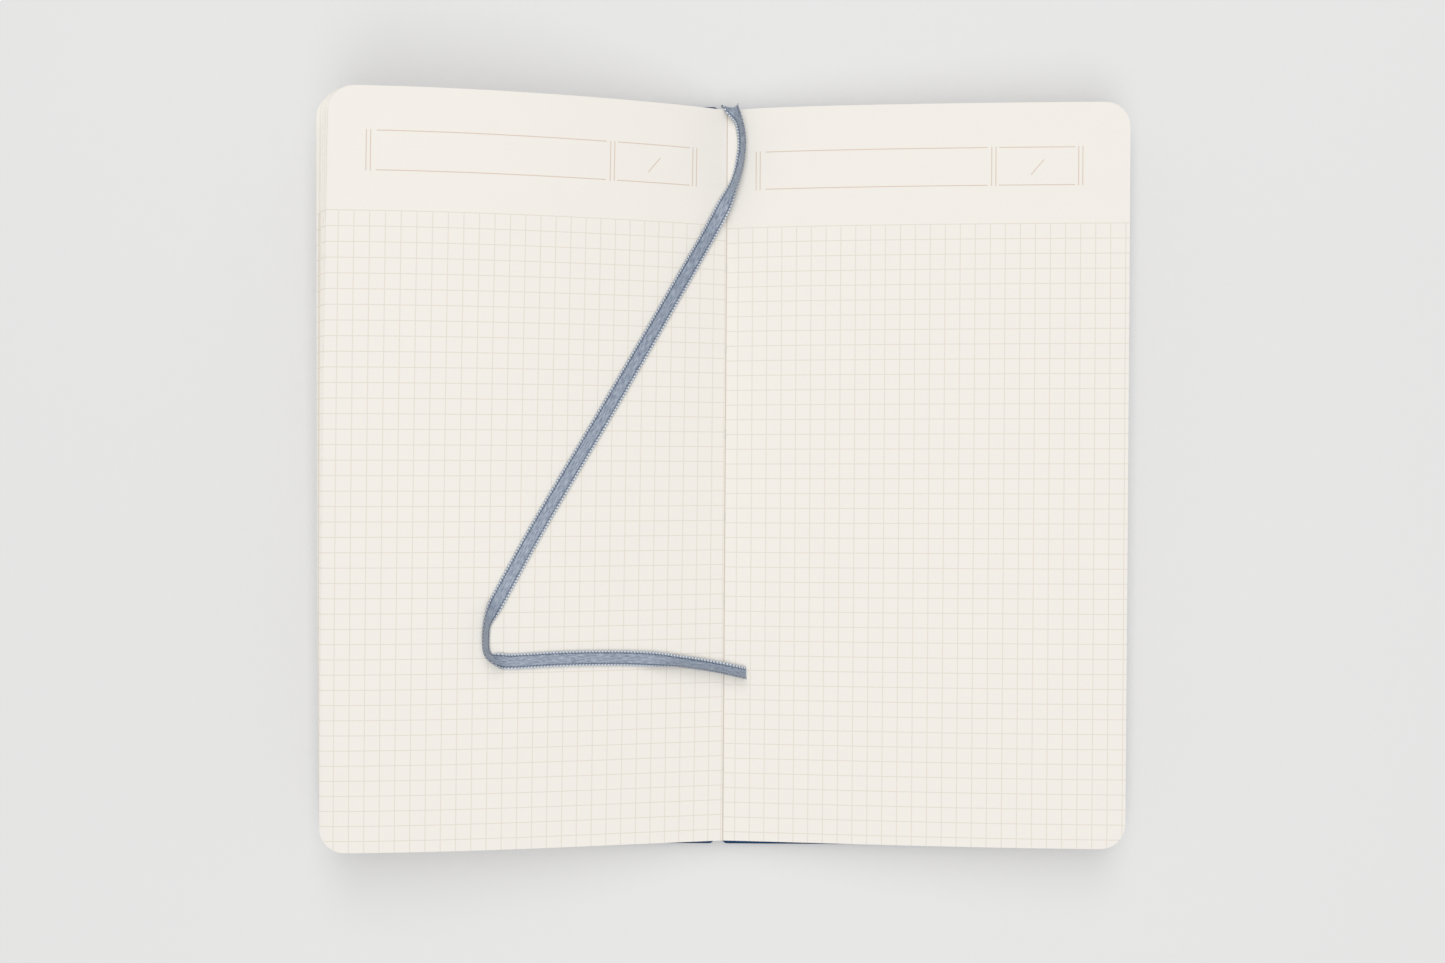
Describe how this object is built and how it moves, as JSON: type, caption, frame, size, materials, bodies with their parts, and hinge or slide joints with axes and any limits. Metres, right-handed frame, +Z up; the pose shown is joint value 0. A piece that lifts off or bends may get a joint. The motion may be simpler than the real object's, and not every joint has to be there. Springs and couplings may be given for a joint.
{
  "type": "sketchbook",
  "caption": "Slim thread-sewn sketchbook lying open, grid-ruled leaves arching from a cloth-covered case, ribbon bookmark across the spread; it closes flat about the spine.",
  "frame": {"origin": "under the middle of the spine, on the surface that the open covers lie on", "axes": "+X across the spread from the front cover's side to the back cover's side, +Y from the foot to the head of the pages, +Z up from the table"},
  "size_m": [0.2004, 0.1843, 0.0257],
  "materials": {
    "greyboard": "grey millboard, matt",
    "book_cloth": "navy book cloth with a fine weave, matt",
    "spine_lining": "open-weave mull with glue, matt",
    "linen_thread": "waxed linen sewing thread, dull",
    "satin_ribbon": "grey-blue woven ribbon with picot edges, soft sheen",
    "endpaper": "heavy cream endpaper, matt",
    "page_paper": "warm white sketch paper with a faint printed grid, matt"
  },
  "bodies": {
    "back_half": {"back_board": "greyboard", "back_cover_cloth": "book_cloth", "back_pastedown": "endpaper", "back_flyleaf": "endpaper", "spine_lining_back": "spine_lining", "section_4_thread": "linen_thread", "bookmark_ribbon": "satin_ribbon"},
    "front_cover": {"front_board": "greyboard", "front_cover_cloth": "book_cloth", "front_pastedown": "endpaper", "front_flyleaf": "endpaper", "spine_lining_front": "spine_lining"},
    "section_1": {"section_1_sheet_1": "page_paper", "section_1_sheet_2": "page_paper", "section_1_sheet_3": "page_paper", "section_1_sheet_4": "page_paper", "section_1_thread": "linen_thread"},
    "section_2": {"section_2_sheet_1": "page_paper", "section_2_sheet_2": "page_paper", "section_2_sheet_3": "page_paper", "section_2_sheet_4": "page_paper", "section_2_thread": "linen_thread"},
    "section_3": {"section_3_sheet_1": "page_paper", "section_3_sheet_2": "page_paper", "section_3_sheet_3": "page_paper", "section_3_sheet_4": "page_paper", "section_3_thread": "linen_thread"},
    "section_4_left": {"section_4_sheet_1_left": "page_paper", "section_4_sheet_2_left": "page_paper", "section_4_sheet_3_left": "page_paper", "section_4_sheet_4_left": "page_paper"},
    "section_7": {"section_7_sheet_1": "page_paper", "section_7_sheet_2": "page_paper", "section_7_sheet_3": "page_paper", "section_7_sheet_4": "page_paper", "section_7_thread": "linen_thread"},
    "section_6": {"section_6_sheet_1": "page_paper", "section_6_sheet_2": "page_paper", "section_6_sheet_3": "page_paper", "section_6_sheet_4": "page_paper", "section_6_thread": "linen_thread"},
    "section_5": {"section_5_sheet_1": "page_paper", "section_5_sheet_2": "page_paper", "section_5_sheet_3": "page_paper", "section_5_sheet_4": "page_paper", "section_5_thread": "linen_thread"},
    "section_4_right": {"section_4_sheet_1_right": "page_paper", "section_4_sheet_2_right": "page_paper", "section_4_sheet_3_right": "page_paper", "section_4_sheet_4_right": "page_paper"}
  },
  "joints": [
    {"name": "cover_closing", "type": "hinge", "parent": "back_half", "child": "front_cover", "pos_m": [0, 0, 0.00619], "axis": [0, 1, 0], "range_deg": [0, 179.9], "deforming": ["bookmark_ribbon"]},
    {"name": "section_1_fold", "type": "hinge", "parent": "back_half", "child": "section_1", "pos_m": [0.00006, 0, 0.00617], "axis": [0, 1, 0], "range_deg": [0, 178.5]},
    {"name": "section_2_fold", "type": "hinge", "parent": "back_half", "child": "section_2", "pos_m": [0.00012, 0, 0.00614], "axis": [0, 1, 0], "range_deg": [0, 175.5]},
    {"name": "section_3_fold", "type": "hinge", "parent": "back_half", "child": "section_3", "pos_m": [0.00013, 0, 0.00611], "axis": [0, 1, 0], "range_deg": [0, 172]},
    {"name": "section_4_left_fold", "type": "hinge", "parent": "back_half", "child": "section_4_left", "pos_m": [0.00006, 0, 0.00616], "axis": [0, 1, 0], "range_deg": [0, 168.5]},
    {"name": "section_7_fold", "type": "hinge", "parent": "back_half", "child": "section_7", "pos_m": [0.0012, 0, 0.00191], "axis": [0, 1, 0], "range_deg": [0, 1]},
    {"name": "section_6_fold", "type": "hinge", "parent": "back_half", "child": "section_6", "pos_m": [0.0012, 0, 0.00315], "axis": [0, 1, 0], "range_deg": [0, 2.6]},
    {"name": "section_5_fold", "type": "hinge", "parent": "back_half", "child": "section_5", "pos_m": [0.0012, 0, 0.00439], "axis": [0, 1, 0], "range_deg": [0, 4.2]},
    {"name": "section_4_right_fold", "type": "hinge", "parent": "back_half", "child": "section_4_right", "pos_m": [0.0003, 0, 0.00563], "axis": [0, 1, 0], "range_deg": [0, 5.6]}
  ],
  "couplings": [
    {"joint": "section_1_fold", "follows": "cover_closing", "ratio": 0.99167},
    {"joint": "section_2_fold", "follows": "cover_closing", "ratio": 0.975},
    {"joint": "section_3_fold", "follows": "cover_closing", "ratio": 0.95556},
    {"joint": "section_4_left_fold", "follows": "cover_closing", "ratio": 0.93611},
    {"joint": "section_7_fold", "follows": "cover_closing", "ratio": 0.0055556},
    {"joint": "section_6_fold", "follows": "cover_closing", "ratio": 0.014444},
    {"joint": "section_5_fold", "follows": "cover_closing", "ratio": 0.023333},
    {"joint": "section_4_right_fold", "follows": "cover_closing", "ratio": 0.031111}
  ]
}
